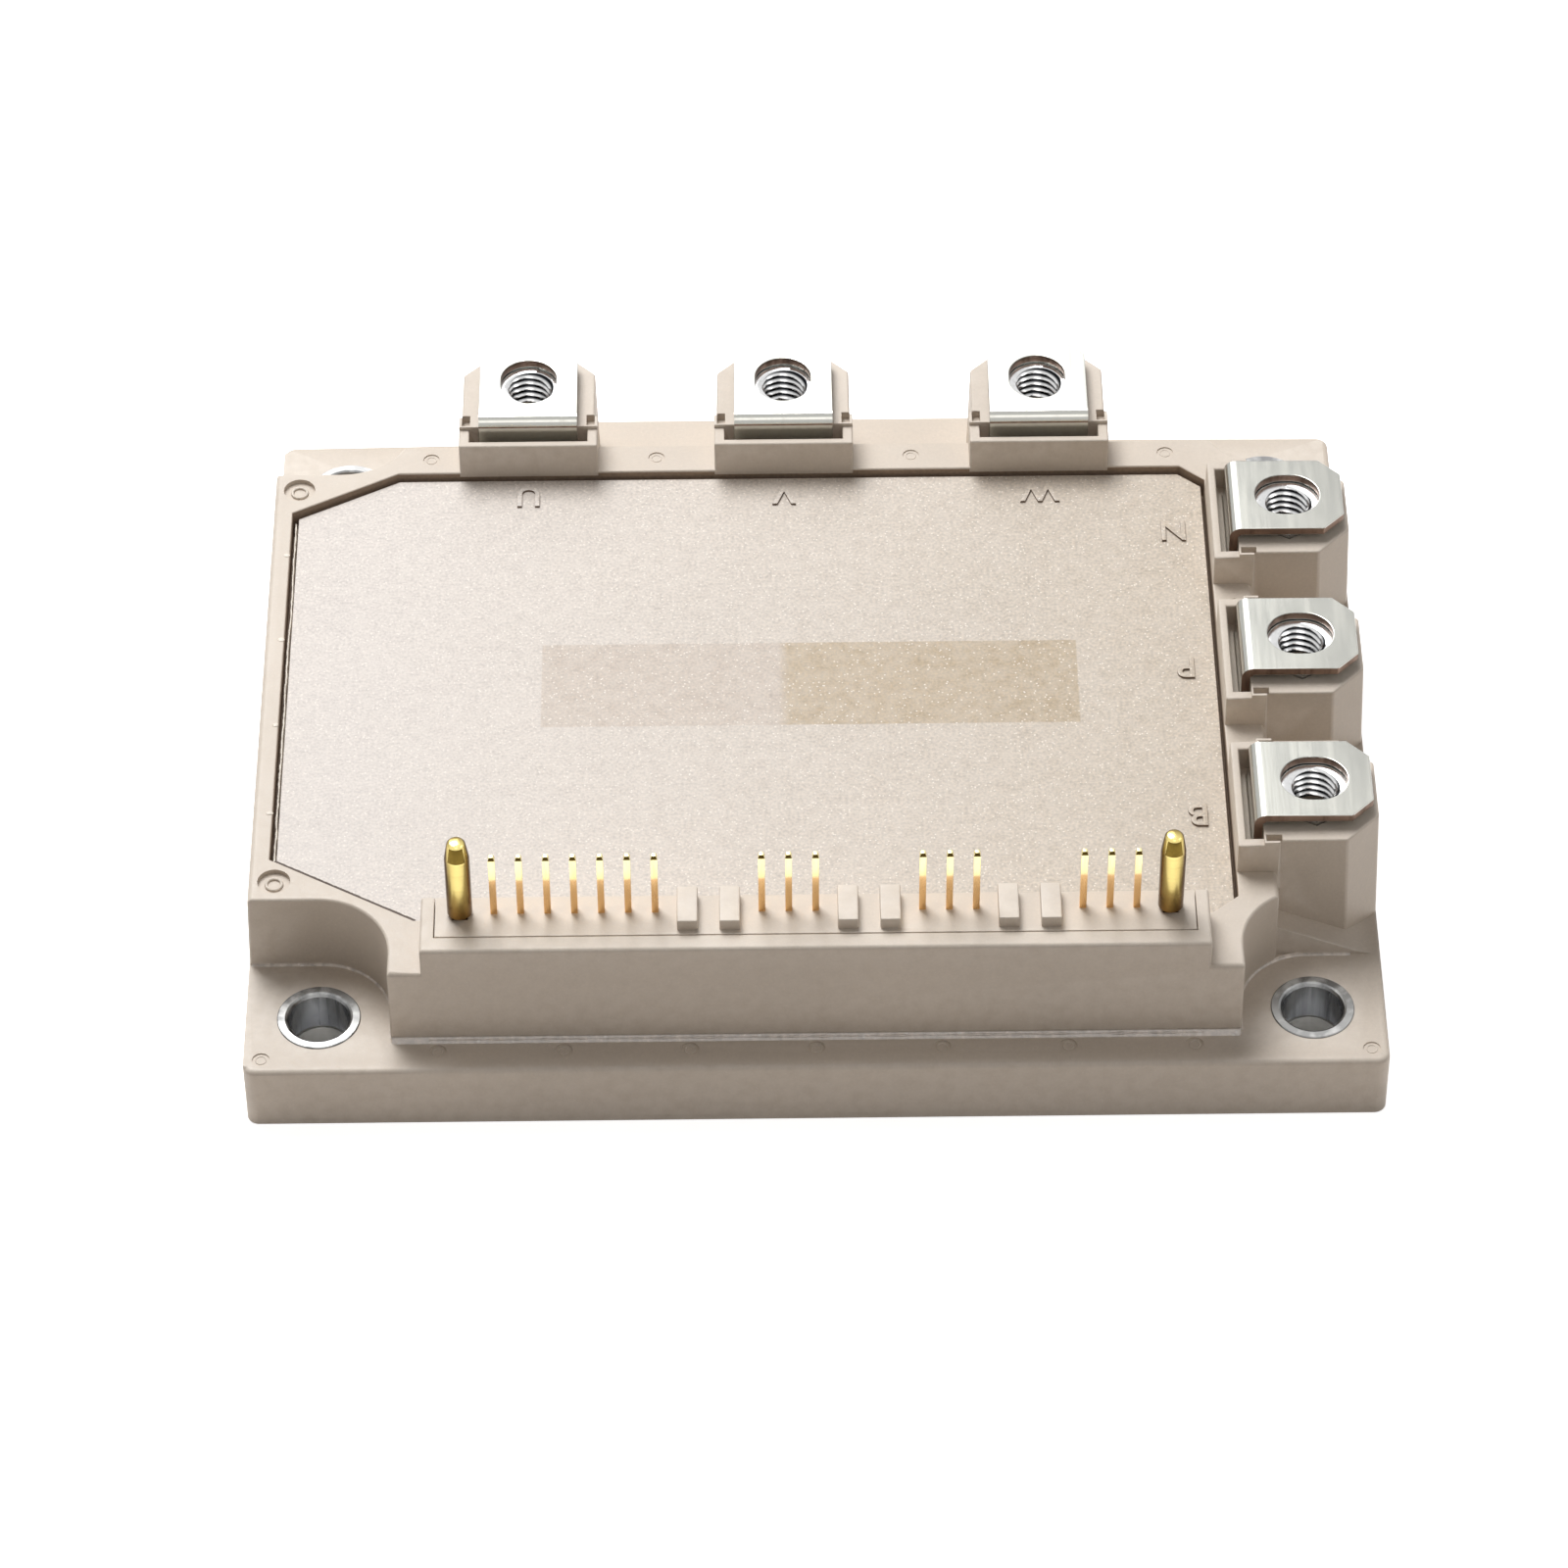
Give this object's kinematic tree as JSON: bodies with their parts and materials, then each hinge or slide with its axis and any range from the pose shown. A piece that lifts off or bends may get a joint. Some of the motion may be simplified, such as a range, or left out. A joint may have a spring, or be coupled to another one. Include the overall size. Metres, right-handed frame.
{
  "type": "igbt power module",
  "caption": "Flat moulded power module with screw terminals on raised posts along two sides, a row of control pins in a raised connector, a lid and a metal base plate.",
  "frame": {"origin": "centre of the mounting face, in the plane of the cooler", "axes": "+Z away from the cooler, X along the row of control pins with the three side terminals at +X, Y from the control pins towards the three rear terminals"},
  "size_m": [0.109, 0.088, 0.0293],
  "materials": {
    "case": "matt moulded, fine speckle",
    "lid": "matt moulded, fine speckle",
    "holder": "matt moulded",
    "base_plate": "nickel plated",
    "sleeve": "nickel plated",
    "terminal": "tin plated",
    "nut": "zinc plated",
    "pins": "pale gold over copper",
    "guide_pin": "turned brass",
    "board": "lacquered",
    "package": "matt moulded",
    "ceramic": "satin",
    "copper": "bare copper",
    "chip": "polished",
    "wire": "bright drawn",
    "gel": "clear soft gel"
  },
  "bodies": {
    "root": {"case_frame": "case", "lid": "lid", "base_plate": "base_plate", "sleeve_front_left": "sleeve", "sleeve_front_right": "sleeve", "sleeve_rear_left": "sleeve", "sleeve_rear_right": "sleeve", "terminal_u": "terminal", "terminal_v": "terminal", "terminal_w": "terminal", "terminal_n": "terminal", "terminal_p": "terminal", "terminal_b": "terminal", "nut_u": "nut", "nut_v": "nut", "nut_w": "nut", "nut_n": "nut", "nut_p": "nut", "nut_b": "nut", "pin_holder": "holder", "control_pins_a": "pins", "control_pins_b": "pins", "control_pins_c": "pins", "control_pins_d": "pins", "guide_pin_left": "guide_pin", "guide_pin_right": "guide_pin", "control_board": "board", "gate_drivers": "package", "signal_buffers": "package", "relay_pins": "pins", "ceramic_u": "ceramic", "ceramic_v": "ceramic", "ceramic_w": "ceramic", "ceramic_brake": "ceramic", "copper_u": "copper", "copper_v": "copper", "copper_w": "copper", "copper_brake": "copper", "switch_chips": "chip", "diode_chips": "chip", "bond_wires": "wire", "gel_filling": "gel"}
  },
  "joints": []
}
